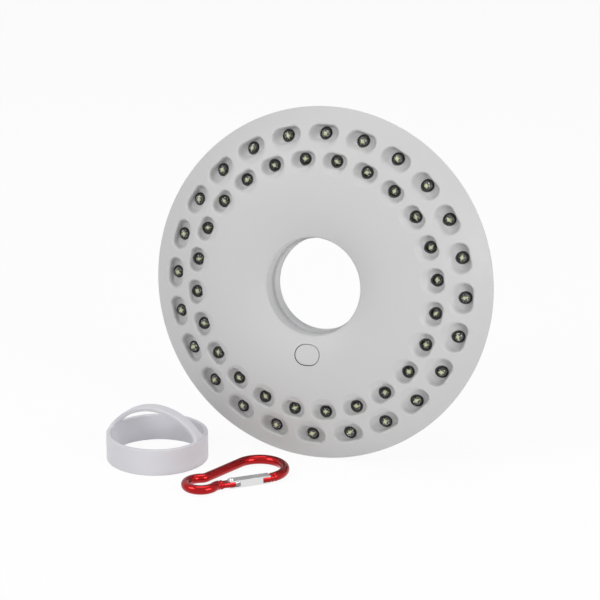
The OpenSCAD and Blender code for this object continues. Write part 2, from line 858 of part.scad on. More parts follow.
module carabiner_gate() {
    color([0.78, 0.78, 0.78]) on_carabiner() difference() {
        union() {
            translate([0, -gate_w / 2, -gate_h / 2])
                cube([gate_end, gate_w, gate_h]);
            cylinder(d = gate_w, h = gate_h, center = true, $fn = 32);
        }
        translate([-gate_w, gate_t - gate_w / 2, gate_t - gate_h / 2])
            cube([gate_end + 2 * gate_w, gate_w, gate_h - 2 * gate_t]);
        translate([-gate_w, -gate_w / 2 - 1, gate_t - gate_h / 2])
            cube([gate_w + web_start, gate_w, gate_h - 2 * gate_t]);
        translate([web_end, -gate_w / 2 - 1, gate_t - gate_h / 2])
            cube([gate_w + gate_end, gate_w, gate_h - 2 * gate_t]);
        cylinder(r = rivet_r, h = gate_h + 2, center = true, $fn = 32);
    }
}

module gate_rivet() {
    head_low = 0.05 - rod_r;
    color("silver") on_carabiner() {
        cylinder(r = rivet_r, h = gate_h + 2 * eps, center = true, $fn = 32);
        translate([0, 0, gate_h / 2])
            cylinder(r1 = rivet_head_r, r2 = rivet_head_r - 0.5, h = 0.9, $fn = 32);
        translate([0, 0, head_low])
            cylinder(r = rivet_head_r, h = -gate_h / 2 - head_low, $fn = 32);
    }
}

module gate_spring() {
    spring_gap = 0.3;
    color("silver") on_carabiner()
        translate([tongue_end + spring_gap / 3, 0, 0])
            rotate([0, 90, 0])
                cylinder(r = rivet_r, h = web_start - tongue_end - spring_gap, $fn = 24);
}

front_shell();
rear_shell();
power_button();
switch_plunger();
tact_switch();
switch_board();
led_board();
outer_leds();
inner_leds();
led_pins();
resistors();
driver_chip();
lead_wires();
board_screws();
aa_cells();
cell_springs();
contact_plates();
battery_door_left();
battery_door_right();
case_screws();
stand_wire();
hanging_loop();
hanger_ring();
carabiner_body();
carabiner_gate();
gate_rivet();
gate_spring();
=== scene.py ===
"""Umbrella-pole light with its hanger ring and carabiner: looks, light and camera.

Sizes in this file are millimetres and are turned into metres where a mesh is made.
The disc has its own frame: x to the right, y up the face, z out of the face.
"""

import json
import math

import bmesh
import bpy
import numpy as np
from mathutils import Matrix, Vector


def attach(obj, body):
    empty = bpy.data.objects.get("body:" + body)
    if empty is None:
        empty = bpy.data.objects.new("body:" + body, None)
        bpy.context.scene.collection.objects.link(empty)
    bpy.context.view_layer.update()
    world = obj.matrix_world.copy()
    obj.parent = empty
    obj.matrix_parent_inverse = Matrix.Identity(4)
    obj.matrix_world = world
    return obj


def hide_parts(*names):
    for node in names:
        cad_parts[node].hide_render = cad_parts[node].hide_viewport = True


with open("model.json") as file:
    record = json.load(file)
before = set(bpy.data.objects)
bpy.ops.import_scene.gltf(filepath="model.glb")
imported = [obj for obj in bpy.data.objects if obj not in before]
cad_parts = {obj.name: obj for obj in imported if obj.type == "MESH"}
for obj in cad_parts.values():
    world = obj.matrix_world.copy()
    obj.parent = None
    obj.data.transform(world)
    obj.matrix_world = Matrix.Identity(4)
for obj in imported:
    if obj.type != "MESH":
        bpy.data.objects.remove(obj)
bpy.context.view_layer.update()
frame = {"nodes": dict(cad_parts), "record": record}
nodes = frame["nodes"]
mounts = {m["name"]: m for m in frame["record"]["mounts"]}
joints = {j["name"]: j for j in frame["record"]["behaviour"]["joints"]}

DISC_R, CREST_R, LIP_R, HOLE_STEP_Z = 92.5, 42.0, 25.6, 9.5
CREST_Z, RIM_Z, LIP_Z = 22.8, 4.4, 19.5
DOME_R = ((DISC_R - CREST_R) ** 2 + (CREST_Z - RIM_Z) ** 2) / (2 * (CREST_Z - RIM_Z))
MOUTH_R = ((CREST_R - LIP_R) ** 2 + (CREST_Z - LIP_Z) ** 2) / (2 * (CREST_Z - LIP_Z))
LED_COUNT, OUTER_LED_R, INNER_LED_R = 24, 78.9, 65.9
OUTER_TIP_Z, INNER_TIP_Z, LED_R = 10.8, 15.5, 2.5
FLANGE_R, BARREL_H = 2.9, 7.5
FIRST_LED = math.radians(1.1 - 90)
POCKET_DEPTH, WELL_R = 4.4, 3.35
# Pockets: the trough's radius and half length, then the oval's shift, reach outwards and along.
OUTER_WELL = (4.9, 3.5, -1.6, 6.6, 8.9)
INNER_WELL = (4.5, 2.4, -1.8, 6.0, 7.4)
BUTTON_R, BUTTON_HALF, BUTTON_END_R, BUTTON_GAP = 35.5, 1.3, 5.3, 0.25
ARCH_TURN, CARABINER_TURN = -8, 40.8

FACE_N = np.array(mounts["pole_bore"]["axis"])
FACE_RIGHT = np.array([1.0, 0, 0])
FACE_UP = np.array([0.0, FACE_N[2], -FACE_N[1]])
DISC_C = np.array(mounts["pole_bore"]["pos_m"]) * 1000 - 5.5 * FACE_N
RING_C = np.array(mounts["ring_spigot"]["pos_m"]) * 1000 * np.array([1, 1, 0])
GATE_PIVOT = np.array(joints["gate_open"]["pos_m"]) * 1000


# ---------------------------------------------------------------- frames and meshes


def from_disc(x, y, z):
    """Disc frame to row frame: disc centre + x right + y up the face + z along its normal."""
    x, y, z = np.broadcast_arrays(x, y, z)
    sideways, upwards, outwards = x[..., None], y[..., None], z[..., None]
    return DISC_C + sideways * FACE_RIGHT + upwards * FACE_UP + outwards * FACE_N


def turned(x, y, angle):
    """(x, y) turned by an angle: (x cos - y sin, x sin + y cos)."""
    cos, sin = np.cos(angle), np.sin(angle)
    return x * cos - y * sin, x * sin + y * cos


def turn_matrix(degrees):
    """Matrix that turns rows of points about the vertical axis."""
    a = math.radians(degrees)
    return np.array([[math.cos(a), math.sin(a), 0], [-math.sin(a), math.cos(a), 0], [0, 0, 1]])


def grid_faces(rows, cols, closed_rows=False):
    """Quads of a rows by cols grid, as indices; columns close up, and rows do if closed_rows."""
    r = np.arange(rows if closed_rows else rows - 1)
    r, c = np.meshgrid(r, np.arange(cols), indexing="ij")
    r1, c1 = (r + 1) % rows, (c + 1) % cols
    return np.stack([r * cols + c, r * cols + c1, r1 * cols + c1, r1 * cols + c], -1).reshape(-1, 4)


def add_object(name, data):
    """New object at the origin, linked to the scene."""
    added = bpy.data.objects.new(name, data)
    bpy.context.scene.collection.objects.link(added)
    return added


def surface(name, points, faces, material, body, slot, replaces=(), uv=None, seeds=None):
    """One smooth piece from points in millimetres and (m, 4) quads, riding on a body.

    uv becomes the map called pattern, and seeds the point attribute called seed: random values on
    the LED lenses, and the pockets' painted shade on the face dome.
    """
    mesh = bpy.data.meshes.new(name)
    used, inverse = np.unique(faces, return_inverse=True)
    faces = inverse.reshape(faces.shape)
    points = points.reshape(-1, 3)[used] / 1000
    mesh.vertices.add(len(points))
    mesh.vertices.foreach_set("co", points.ravel())
    mesh.loops.add(faces.size)
    mesh.loops.foreach_set("vertex_index", faces.ravel())
    mesh.polygons.add(len(faces))
    mesh.polygons.foreach_set("loop_start", np.arange(len(faces)) * faces.shape[1])
    mesh.polygons.foreach_set("use_smooth", np.ones(len(faces), bool))
    mesh.update(calc_edges=True)
    mesh.validate()
    if uv is not None:
        layer = mesh.uv_layers.new(name="pattern")
        layer.data.foreach_set("uv", uv.reshape(-1, 2)[used][faces.ravel()].ravel())
    if seeds is not None:
        held = mesh.attributes.new("seed", "FLOAT", "POINT")
        held.data.foreach_set("value", seeds.ravel()[used])
    piece = add_object(name, mesh)
    mesh.materials.append(material)
    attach(piece, body)
    if replaces:
        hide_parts(*replaces)
    return piece


def outward(points, faces, inside):
    """Turns the quads round if they face the point called inside rather than away from it."""
    p = points.reshape(-1, 3)[faces]
    normal = np.cross(p[:, 2] - p[:, 0], p[:, 3] - p[:, 1])
    side = np.sum(normal * (p.mean(1) - inside), -1).sum()
    return faces if side > 0 else faces[:, ::-1]


def smooth_step(t):
    """3 t^2 - 2 t^3 on 0 to 1, flat outside."""
    t = np.clip(t, 0, 1)
    return t * t * (3 - 2 * t)


def soft_min(a, b, k):
    """Lower of a and b, rounded by k where they cross: min(a, b) - k/4 (1 - |a - b| / k)^2."""
    h = np.maximum(k - np.abs(a - b), 0) / k
    return np.minimum(a, b) - h * h * k / 4


# ---------------------------------------------------------------- the disc's face


def face_height(r):
    """Two arcs with a common top at the crest: the dome outside it and the bell mouth inside it."""
    dome = CREST_Z - DOME_R + np.sqrt(np.maximum(DOME_R**2 - (r - CREST_R) ** 2, 0))
    mouth = CREST_Z - MOUTH_R + np.sqrt(np.maximum(MOUTH_R**2 - (CREST_R - r) ** 2, 0))
    return np.where(r > CREST_R, dome, mouth)


def pocket_depth(px, py, led_r, well):
    """How far a pocket lies under the face, and its painted shade; px points outwards, py along the
    circle.

    A steep round-ended trough holds the LED, and a shallow oval round it runs out to a soft lip on
    the disc's inner side: depth = D (share (1 - s(trough)) + (1 - share) (1 - s(oval))), where s is
    the smooth step. The shade is painted shade for the face's colour: 1 - s(trough), fading out
    towards the disc's middle.
    """
    radius, half, shift, oval_r, oval_along = well
    trough_shift, trough_flat, oval_flat, share = 0.1, 0.62, 0.45, 0.68
    shade_from, shade_run = 4.5, 5.5
    u = px - led_r
    trough = np.hypot(u - trough_shift, np.maximum(np.abs(py) - half, 0)) / radius
    oval = np.hypot((u - shift) / oval_r, py / oval_along)
    slope = math.asin((led_r - CREST_R) / DOME_R)
    steep = 1 - smooth_step((trough - trough_flat) / (1 - trough_flat))
    gentle = 1 - smooth_step((oval - oval_flat) / (1 - oval_flat))
    depth = POCKET_DEPTH / math.cos(slope) * (share * steep + (1 - share) * gentle)
    return depth, steep * smooth_step((u + shade_from) / shade_run)


def carved_height(r, angle):
    """Face height less the depth of the nearest outer and inner pocket, and the pockets' painted
    shade.
    """
    z, shade = face_height(r), np.zeros_like(r)
    pitch = 2 * math.pi / LED_COUNT
    for led_r, well, first in (
        (OUTER_LED_R, OUTER_WELL, FIRST_LED),
        (INNER_LED_R, INNER_WELL, FIRST_LED + pitch / 2),
    ):
        off = (angle - first + pitch / 2) % pitch - pitch / 2
        depth, dark = pocket_depth(r * np.cos(off), r * np.sin(off), led_r, well)
        z, shade = z - depth, np.maximum(shade, dark)
    return z, shade


def rounded_block(px, py, i, j, centre, edge, reach, outline, step):
    """Moves grid points near a hole onto rings that follow the hole's outline.

    i and j count grid lines from the hole's middle; the square ring of index k = max(|i|, |j|)
    becomes outline(angle) + (k - edge) step, and fades into the plain grid at k = reach.
    """
    k = np.maximum(np.abs(i), np.abs(j))
    length = np.maximum(np.hypot(i, j), 1e-9)
    cos, sin = j / length, i / length
    out = outline(cos, sin) * np.minimum(k / edge, 1) + np.maximum(k - edge, 0) * step
    weight = 1 - smooth_step((k - edge - 1) / (reach - edge - 1))
    qx, qy = centre + out * cos, out * sin
    return px + weight * (qx - px), py + weight * (qy - py)


def round_hole(cos, sin):
    """Outline of an LED's hole: a circle, the same in every direction (cos, sin)."""
    return np.full_like(cos, WELL_R)


def button_outline(cos, sin, grow=BUTTON_GAP):
    """Distance from the button's middle to its outline, two half circles joined by short flats.

    cos points along the radius and sin along the circle; on the round end the distance solves
    (s - half)^2 + c^2 = end^2 along the direction (c, s).
    """
    end = BUTTON_END_R + grow
    s = np.abs(sin)
    flat = end / np.maximum(np.abs(cos), 1e-9)
    curve = s * BUTTON_HALF + np.sqrt(np.maximum(end**2 - BUTTON_HALF**2 * (1 - s * s), 0))
    return np.where(flat * s <= BUTTON_HALF, flat, curve)


def ring_of_square(k):
    """(cos, sin) towards the 8k points of the square ring of index k, in order round it."""
    run = np.arange(-k, k)
    i = np.concatenate([run, np.full(2 * k, k), -run, np.full(2 * k, -k)])
    j = np.concatenate([np.full(2 * k, -k), run, np.full(2 * k, k), -run])
    length = np.hypot(i, j)
    return j / length, i / length


def build_pocket_zone(material):
    """Dome from r = 58 to the rim: a polar grid carved with the pockets, its holes left open.

    Each circle of LEDs has a row of the grid through its middle, and the rows between are shared.
    """
    cols, per_led, edge, reach, spread = 1152, 48, 7, 15, 0.42
    inner_row, outer_row, row_count = 17, 46, 75
    shared_row = (inner_row + outer_row + 1) // 2
    step = (OUTER_LED_R - INNER_LED_R) / (outer_row - inner_row)
    rings = INNER_LED_R + step * (np.arange(row_count) - inner_row)
    turn = 2 * math.pi / cols
    c, j = np.meshgrid(np.arange(cols), np.arange(len(rings)))
    r0 = rings[j]
    angle = FIRST_LED + c * turn
    x, y = np.zeros_like(r0), np.zeros_like(r0)
    cut = np.zeros(r0.shape, bool)
    for led_r, j0, c0, rows in (
        (OUTER_LED_R, outer_row, 0, j >= shared_row),
        (INNER_LED_R, inner_row, per_led // 2, j < shared_row),
    ):
        i = (c - c0 + per_led // 2) % per_led - per_led // 2
        px, py = r0 * np.cos(i * turn), r0 * np.sin(i * turn)
        px, py = rounded_block(px, py, i, j - j0, led_r, edge, reach, round_hole, spread)
        px, py = turned(px, py, angle - i * turn)
        x, y = np.where(rows, px, x), np.where(rows, py, y)
        inside = (i >= -edge) & (i < edge) & (j - j0 >= -edge) & (j - j0 < edge)
        cut |= inside & rows
    r, a = np.hypot(x, y), np.arctan2(y, x)
    z, shade = carved_height(r, a)
    rim = np.array([DISC_R, 0]) + [
        [-0.3, 4.74],
        [-0.14, 4.58],
        [-0.08, 4.42],
        [-0.1, 4.24],
        [-0.8, 2.0],
        [-1.37, 0.35],
        [-1.5, 0.1],
        [-1.7, 0.0],
        [-3.5, 0.0],
        [-2.9, 2.0],
    ]
    rim_r = np.repeat(rim[:, :1], cols, 1)
    rim_z = np.repeat(rim[:, 1:], cols, 1)
    x = np.vstack([x, rim_r * np.cos(angle[:1])])
    y = np.vstack([y, rim_r * np.sin(angle[:1])])
    z = np.vstack([z, rim_z])
    shade = np.vstack([shade, np.zeros_like(rim_z)])
    rows = len(rings) + len(rim)
    faces = grid_faces(rows, cols)
    keep = ~np.vstack([cut, np.zeros((len(rim), cols), bool)])[:-1].ravel()
    points = from_disc(x, y, z)
    faces = faces[keep][:, ::-1]
    look = (material, "light", "face_plastic", ["front_shell"])
    # The seed attribute carries the pockets' painted shade, which darkens the face's colour in
    # them.
    return surface("face_dome", points, faces, *look, seeds=shade)


def build_mouth(material):
    """Crest, bell mouth, lip and tube: a polar grid with the button's opening left in it."""
    cols, edge, reach, spacing = 384, 12, 17, 0.5
    start_r, row_count, settled_row = 58.4, 65, 20
    row = np.arange(row_count)
    rings = start_r - spacing * row
    j0 = int(round((start_r - BUTTON_R) / spacing))
    rings = rings + (BUTTON_R - rings[j0]) * smooth_step(row / settled_row)
    turn = 2 * math.pi / cols
    c, j = np.meshgrid(np.arange(cols), np.arange(len(rings)))
    i = (c + cols // 2) % cols - cols // 2
    r0 = rings[j]
    near = np.abs(i) <= reach + 2
    px, py = r0 * np.cos(i * turn), r0 * np.sin(i * turn)
    qx, qy = rounded_block(px, py, i, j0 - j, BUTTON_R, edge, reach, button_outline, spacing)
    px, py = np.where(near, qx, px), np.where(near, qy, py)
    x, y = py, -px
    z = face_height(np.hypot(x, y))
    inside = (i >= -edge) & (i < edge) & (j0 - j > -edge) & (j0 - j <= edge)
    step_r, middle_z = LIP_R + 2.2, 14.0
    lip = np.array(
        [
            [LIP_R + 0.12, LIP_Z - 0.08],
            [LIP_R + 0.02, LIP_Z - 0.3],
            [LIP_R, LIP_Z - 0.6],
            [LIP_R, middle_z],
            [LIP_R, HOLE_STEP_Z + 0.4],
            [LIP_R + 0.1, HOLE_STEP_Z + 0.1],
            [LIP_R + 0.4, HOLE_STEP_Z],
            [step_r, HOLE_STEP_Z],
            [step_r, middle_z],
        ]
    )
    angle = c[:1] * turn
    x = np.vstack([x, lip[:, :1] * np.sin(angle)])
    y = np.vstack([y, -lip[:, :1] * np.cos(angle)])
    z = np.vstack([z, np.repeat(lip[:, 1:], cols, 1)])
    rows = len(rings) + len(lip)
    faces = grid_faces(rows, cols)
    keep = ~np.vstack([inside, np.zeros((len(lip), cols), bool)])[:-1].ravel()
    points = from_disc(x, y, z)
    faces = faces[keep][:, ::-1]
    return surface("face_mouth", points, faces, material, "light", "face_plastic", ["front_shell"])


def build_button_well(material):
    """Wall of the button's opening: its outline carried straight back, with a rounded top edge."""
    cos, sin = ring_of_square(12)
    drop = np.array([0.0, 0.12, 0.3, 1.0, 4.5])[:, None]
    grow = BUTTON_GAP - np.array([0.0, 0.06, 0.08, 0.08, 0.08])[:, None]
    out = np.stack([button_outline(cos, sin, g[0]) for g in grow])
    x, y = out * sin, -(BUTTON_R + out * cos)
    top = face_height(np.hypot(x[:1], y[:1]))
    points = from_disc(x, y, top - drop)
    faces = grid_faces(len(drop), len(cos))
    return surface("button_well", points, faces, material, "light", "face_plastic", ["front_shell"])


def build_wells(material):
    """Dark grey sleeves round the LEDs, their colour painted shade for the gap round each lens:
    each hole's edge turned back and in to the lens.
    """
    cos, sin = ring_of_square(7)
    drop = np.array([0.0, 0.1, 0.3, 0.6, 0.8, 0.85])[None, :, None]
    inset = np.array([0.0, 0.07, 0.1, 0.15, 0.35, 0.84])[None, :, None]
    pitch = 2 * math.pi / LED_COUNT
    parts, faces, start = [], [], 0
    for led_r, first in ((OUTER_LED_R, FIRST_LED), (INNER_LED_R, FIRST_LED + pitch / 2)):
        mid = (first + pitch * np.arange(LED_COUNT))[:, None, None]
        out = WELL_R - inset
        px, py = led_r + out * cos, out * sin
        x, y = turned(px, py, mid)
        ex, ey = led_r + WELL_R * cos, WELL_R * sin
        edge = carved_height(np.hypot(ex, ey), np.arctan2(ey, ex) + first)[0]
        z = edge[None, None] - drop + np.zeros_like(x)
        parts.append(from_disc(x, y, z).reshape(-1, 3))
        one = grid_faces(drop.shape[1], len(cos))
        count = drop.shape[1] * len(cos)
        faces += [one + start + n * count for n in range(LED_COUNT)]
        start += LED_COUNT * count
    points, faces = np.concatenate(parts), np.concatenate(faces)
    return surface("led_wells", points, faces, material, "light", "black_plastic")


def build_leds(name, led_r, tip_z, first, material, node):
    """LED lenses: a quarter circle and a barrel turned about each LED's axis.

    The pattern map holds each point's place beside the axis, turned by a random angle.
    """
    polar = np.linspace(0, math.pi / 2, 13)
    prof_r = np.concatenate([LED_R * np.sin(polar), [LED_R, FLANGE_R, FLANGE_R, 0.5]])
    base = -BARREL_H - np.array([0, 0.1, 1.1, 1.1])
    prof_z = np.concatenate([LED_R * (np.cos(polar) - 1), base])
    prof_r[0] = 0.02
    turn = np.linspace(0, 2 * math.pi, 32, endpoint=False)
    mid = first + 2 * math.pi / LED_COUNT * np.arange(LED_COUNT)
    lx = prof_r[None, :, None] * np.cos(turn) + 0 * mid[:, None, None]
    ly = prof_r[None, :, None] * np.sin(turn) + 0 * mid[:, None, None]
    x = led_r * np.cos(mid)[:, None, None] + lx
    y = led_r * np.sin(mid)[:, None, None] + ly
    z = tip_z + prof_z[None, :, None] + 0 * x
    one = grid_faces(len(prof_r), len(turn))
    count = len(prof_r) * len(turn)
    faces = np.concatenate([one + n * count for n in range(LED_COUNT)])
    chance = np.random.default_rng(int(led_r * 10))
    spin = chance.uniform(0, math.pi, LED_COUNT)[:, None, None]
    off = chance.uniform(-0.25, 0.25, (2, LED_COUNT))
    off_x, off_y = off[0][:, None, None], off[1][:, None, None]
    u, v = turned(lx - off_x, ly - off_y, -spin)
    seeds = chance.uniform(0, 1, LED_COUNT)[:, None, None] + 0 * lx
    points, uv = from_disc(x, y, z), np.stack([u, v], -1)
    return surface(name, points, faces, material, "light", "led_lens", [node], uv, seeds)


def build_button(material):
    """Power button's cap: rings of its outline that follow the face and roll over at the edge."""
    turn = np.linspace(0, 2 * math.pi, 144, endpoint=False)
    cos, sin = np.cos(turn), np.sin(turn)
    edge = button_outline(cos, sin, 0.0)
    fill = np.linspace(0, 1, 15)[:, None]
    out = np.concatenate([fill * (edge - 0.5), [edge - 0.22, edge - 0.07, edge, edge, edge]])
    drop = np.concatenate([0 * fill[:, 0], [0.06, 0.2, 0.5, 2.0, 3.6]])[:, None]
    x, y = out * sin, -(BUTTON_R + out * cos)
    z = face_height(np.hypot(x, y)) - 0.1 - drop
    points = from_disc(x, y, z)
    faces = grid_faces(len(out), len(turn))
    look = (material, "button", "button_plastic")
    return surface("button_cap", points, faces, *look, ["power_button"])


# ---------------------------------------------------------------- hanger ring and carabiner


def turned_points(profile, cols):
    """A closed profile of (r, z) turned about the vertical axis."""
    a = np.linspace(0, 2 * math.pi, cols, endpoint=False)
    r, z = profile[:, :1], profile[:, 1:]
    return np.stack([r * np.cos(a), r * np.sin(a), z + 0 * a], -1)


def rounded_profile(r_in, r_out, z_low, z_high, radius, count=5):
    """Closed rectangle profile with its four corners rounded."""
    corners = ((r_out, z_low, -90), (r_out, z_high, 0), (r_in, z_high, 90), (r_in, z_low, 180))
    points = []
    for r, z, start in corners:
        a = np.radians(np.linspace(start, start + 90, count))
        cr = r - radius if r == r_out else r + radius
        cz = z - radius if z == z_high else z + radius
        points.append(np.stack([cr + radius * np.cos(a), cz + radius * np.sin(a)], -1))
    return np.concatenate(points)


def build_ring(material):
    """Band, and an arched strap whose feet widen in a quarter circle and lie flush in the band."""
    ring_r, wall, height, rise, strap, half = 26.75, 2.2, 14.2, 14.2, 2.4, 3.2
    band_edge, strap_edge, flush_edge, inset = 0.55, 0.24, 0.6, 0.03
    sunk, skin, thin_from, thin_run = 0.3, 0.05, 0.35, 0.3
    arch_r = (ring_r**2 + rise**2) / (2 * rise)
    arch_z = height + rise - arch_r
    band = turned_points(rounded_profile(ring_r - wall, ring_r, 0, height, band_edge), 192)
    band_faces = grid_faces(*band.shape[:2], closed_rows=True)
    fillet, foot_z = 5.0, height - 0.9
    foot = math.acos((foot_z - arch_z) / arch_r)
    t = np.linspace(-foot, foot, 121)
    ring_z = arch_z + arch_r * np.cos(t)
    up = np.clip((ring_z - height + sunk) / fillet, 0, 1)
    width = half + fillet * (1 - np.sqrt(1 - (1 - up) ** 2))
    section = rounded_profile(-1, 1, -1, 0, strap_edge, 6)
    across = section[:, 0][None, :] * width[:, None]
    depth = -section[:, 1][None, :]
    cylinder = np.sqrt(np.maximum((ring_r - inset) ** 2 - across**2, 1))
    arc = arch_r * np.sin(np.abs(t))[:, None]
    flush = soft_min(arc, cylinder, flush_edge)
    x_out = np.where(arc > cylinder - 1, flush, arc)
    thin = smooth_step((np.abs(t) - foot + thin_from) / thin_run)
    thick = strap - (strap - wall + skin) * thin
    x = np.sign(t)[:, None] * x_out - depth * thick[:, None] * np.sin(t)[:, None]
    z = ring_z[:, None] - depth * thick[:, None] * np.cos(t)[:, None]
    strap_points = np.stack([x, across, z], -1)
    strap_faces = grid_faces(*strap_points.shape[:2])
    band_faces = outward(band, band_faces, np.array([0, 0, height / 2]))
    strap_faces = outward(strap_points, strap_faces, np.array([0, 0, height]))
    points = np.concatenate([band.reshape(-1, 3), strap_points.reshape(-1, 3)])
    points = points @ turn_matrix(ARCH_TURN) + RING_C
    faces = np.concatenate([band_faces, strap_faces + band.size // 3])
    look = (material, "ring", "ring_plastic")
    return surface("hanger_ring_body", points, faces, *look, ["hanger_ring"])


def carabiner_path():
    """Middle line of the rod: tongue, neck, eye, neck, back bar and big end, in lines and arcs.

    A neck's circle touches the eye's from outside, so their middles lie eye + neck apart, and it
    touches the straight rod, which gives the rest by Pythagoras.
    """
    eye_r, big_r, neck, slope = 7.8, 13.2, 4.0, math.radians(28.5)
    eye, big = np.array([-15.0, 4.7]), np.array([20.0, big_r])
    tongue_end, nose_start = 1.7, 16.9
    along = np.array([math.cos(slope), math.sin(slope)])
    out = np.array([-along[1], along[0]])
    reach = eye_r + neck
    low = np.array([eye[0] + math.sqrt(reach**2 - (eye[1] + neck) ** 2), -neck])
    bar_end = big + big_r * out
    side = (bar_end - eye) @ out + neck
    high = eye + side * out + math.sqrt(reach**2 - side**2) * along
    low_dir = math.atan2(*(eye - low)[::-1])
    high_dir = math.atan2(*(eye - high)[::-1])

    def arc(middle, radius, start, end, count):
        """Points round a middle from one angle to another, without the first."""
        a = np.linspace(start, end, count)[1:, None]
        return middle + radius * np.hstack([np.cos(a), np.sin(a)])

    bar_start = high - neck * out
    turns = [
        np.linspace([tongue_end, 0], [low[0], 0], 60),
        arc(low, neck, math.pi / 2, low_dir, 18),
        arc(eye, eye_r, low_dir - math.pi, high_dir - math.pi, 110),
        arc(high, neck, high_dir, slope - math.pi / 2, 18),
        np.linspace(bar_start, bar_end, 50)[1:],
        arc(big, big_r, math.pi / 2 + slope, -math.pi / 2, 130),
        np.linspace([big[0], 0], [nose_start, 0], 30)[1:],
    ]
    return np.concatenate(turns)


def from_carabiner(points):
    """Carabiner frame (gate along x, bar on the +y side) to row frame: turned about the pivot."""
    return points @ turn_matrix(CARABINER_TURN) + GATE_PIVOT


def build_carabiner(material):
    """Round rod carried along the path; its tongues are cut flat to half the gate's gap.

    A groove round the rod sets a collar off before each tongue, and the collar's edge rolls over.
    """
    rod, tongue, rear_collar, front_collar = 2.47, 1.3, -5.0, 21.1
    collar_w, step_w, groove_depth = 1.5, 0.35, 0.32
    roll_depth, roll_w, roll_fade, end_share = 0.30, 0.4, 0.3, 0.86
    path = carabiner_path()
    step = np.gradient(path, axis=0)
    step /= np.linalg.norm(step, axis=1)[:, None]
    side = np.stack([-step[:, 1], step[:, 0]], -1)
    x, on_line = path[:, 0], (np.abs(path[:, 1]) < 0.5) & (path[:, 0] > -9)
    past = np.where(x < 10, x - rear_collar, front_collar - x)
    cut = on_line * smooth_step(past / step_w)
    groove = groove_depth * on_line * np.exp(-(((past + collar_w) / step_w) ** 2))
    edge = roll_depth * on_line * smooth_step((past + roll_w) / roll_w)
    edge = edge * (1 - smooth_step(past / roll_fade))
    round_r = rod - groove - edge
    half = round_r - (round_r - tongue) * cut
    a = np.linspace(0, 2 * math.pi, 48, endpoint=False)
    across, up = round_r[:, None] * np.cos(a), round_r[:, None] * np.sin(a)
    up = np.sign(up) * soft_min(np.abs(up), half[:, None] + 0.02, 0.12)
    ends = np.ones(len(path))
    ends[0] = ends[-1] = end_share
    first = path[:, None] + side[:, None] * (across * ends[:, None])[..., None]
    points = np.concatenate([first, (up * ends[:, None])[..., None]], -1)
    cap_0, cap_1 = points[:1].mean(1, keepdims=True), points[-1:].mean(1, keepdims=True)
    points = np.concatenate([cap_0 + 0 * points[:1], points, cap_1 + 0 * points[-1:]])
    faces = grid_faces(*points.shape[:2])
    faces = outward(points, faces, np.array([2.5, 10.0, 0]))
    points, look = from_carabiner(points), (material, "carabiner", "red_anodised")
    return surface("carabiner_rod", points, faces, *look, ["carabiner_body"])


def softened(node, name, width, material, body):
    """A CAD node's own shape with its flat faces joined and its sharp edges rolled over."""
    mesh = nodes[node].data.copy()
    mesh.name = name
    work = bmesh.new()
    work.from_mesh(mesh)
    bmesh.ops.remove_doubles(work, verts=work.verts, dist=2e-6)
    bmesh.ops.dissolve_limit(work, angle_limit=math.radians(1), verts=work.verts, edges=work.edges)
    work.to_mesh(mesh)
    work.free()
    for layer in list(mesh.attributes):
        if layer.name == "custom_normal":
            mesh.attributes.remove(layer)
    piece = add_object(name, mesh)
    mesh.materials.clear()
    mesh.materials.append(material)
    mesh.polygons.foreach_set("use_smooth", np.ones(len(mesh.polygons), bool))
    bevel = piece.modifiers.new("rolled_edges", "BEVEL")
    bevel.width, bevel.segments, bevel.limit_method = width / 1000, 2, "ANGLE"
    bevel.angle_limit, bevel.harden_normals = math.radians(35), True
    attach(piece, body)
    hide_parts(node)
    return piece


# ---------------------------------------------------------------- materials

FLOAT, VECTOR = "NodeSocketFloat", "NodeSocketVector"


def group(name, inputs, outputs):
    """A node group with the given sockets, and its input and output nodes."""
    tree = bpy.data.node_groups.new(name, "ShaderNodeTree")
    for label, kind, value in inputs:
        socket = tree.interface.new_socket(label, in_out="INPUT", socket_type=kind)
        if value is not None:
            socket.default_value = value
    for label, kind in outputs:
        tree.interface.new_socket(label, in_out="OUTPUT", socket_type=kind)
    return tree, tree.nodes.new("NodeGroupInput"), tree.nodes.new("NodeGroupOutput")


def noise(tree, vector, scale, detail=2.0, rough=0.5, w=None):
    """Noise texture read at a vector; its Factor socket is returned."""
    node = tree.nodes.new("ShaderNodeTexNoise")
    if w is not None:
        node.noise_dimensions = "4D"
        feed(tree, w, node.inputs["W"])
    feed(tree, vector, node.inputs["Vector"])
    feed(tree, scale, node.inputs["Scale"])
    node.inputs["Detail"].default_value = detail
    node.inputs["Roughness"].default_value = rough
    return node.outputs["Fac"]


def feed(tree, value, socket):
    """Links a socket, or sets a plain value, on another socket."""
    if isinstance(value, bpy.types.NodeSocket):
        tree.links.new(value, socket)
    else:
        socket.default_value = value


def maths(tree, kind, a, b=0.0):
    """One Math node of one or two values."""
    node = tree.nodes.new("ShaderNodeMath")
    node.operation = kind
    feed(tree, a, node.inputs[0])
    feed(tree, b, node.inputs[1])
    return node.outputs[0]


def ramp(tree, value, low, high, to_low=0.0, to_high=1.0):
    """Map Range, smooth, from low..high to to_low..to_high."""
    node = tree.nodes.new("ShaderNodeMapRange")
    node.interpolation_type = "SMOOTHSTEP"
    ends = {"From Min": low, "From Max": high, "To Min": to_low, "To Max": to_high}
    for name, v in {"Value": value, **ends}.items():
        feed(tree, v, node.inputs[name])
    return node.outputs["Result"]


def mix(tree, factor, a, b):
    """Mix of two colours."""
    node = tree.nodes.new("ShaderNodeMix")
    node.data_type = "RGBA"
    feed(tree, factor, node.inputs["Factor"])
    feed(tree, a, node.inputs["A"])
    feed(tree, b, node.inputs["B"])
    return node.outputs["Result"]


def bump(tree, height, strength, distance):
    """Bump normal from a height."""
    node = tree.nodes.new("ShaderNodeBump")
    node.inputs["Strength"].default_value = strength
    node.inputs["Distance"].default_value = distance
    feed(tree, height, node.inputs["Height"])
    return node.outputs["Normal"]


